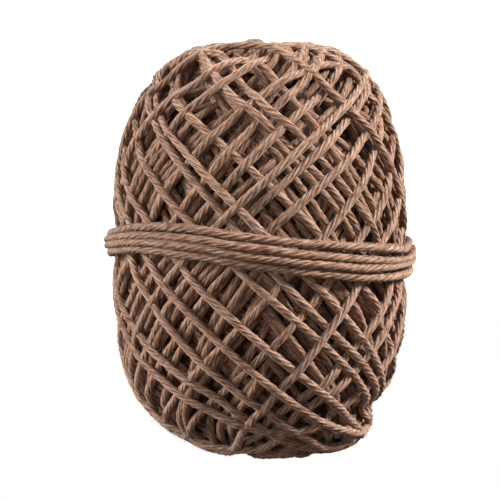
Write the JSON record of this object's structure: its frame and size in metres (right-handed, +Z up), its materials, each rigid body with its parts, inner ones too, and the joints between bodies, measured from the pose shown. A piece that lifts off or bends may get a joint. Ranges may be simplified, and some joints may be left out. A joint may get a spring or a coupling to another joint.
{
  "type": "ball of cotton yarn",
  "caption": "Barrel-shaped ball of brown plied cotton yarn, cross-wound, with a band of turns round its waist.",
  "frame": {"origin": "centre of the base, at the middle of the box's lower face", "axes": "+Z up along the winding axis; the front, which the picture shows, faces -Y"},
  "size_m": [0.0654, 0.0654, 0.0871],
  "materials": {
    "ball_yarn": "matte, slightly fuzzy plied cotton",
    "band_yarn": "matte, slightly fuzzy plied cotton"
  },
  "bodies": {
    "root": {"wound_ball": "ball_yarn", "waist_band": "band_yarn"}
  },
  "joints": []
}
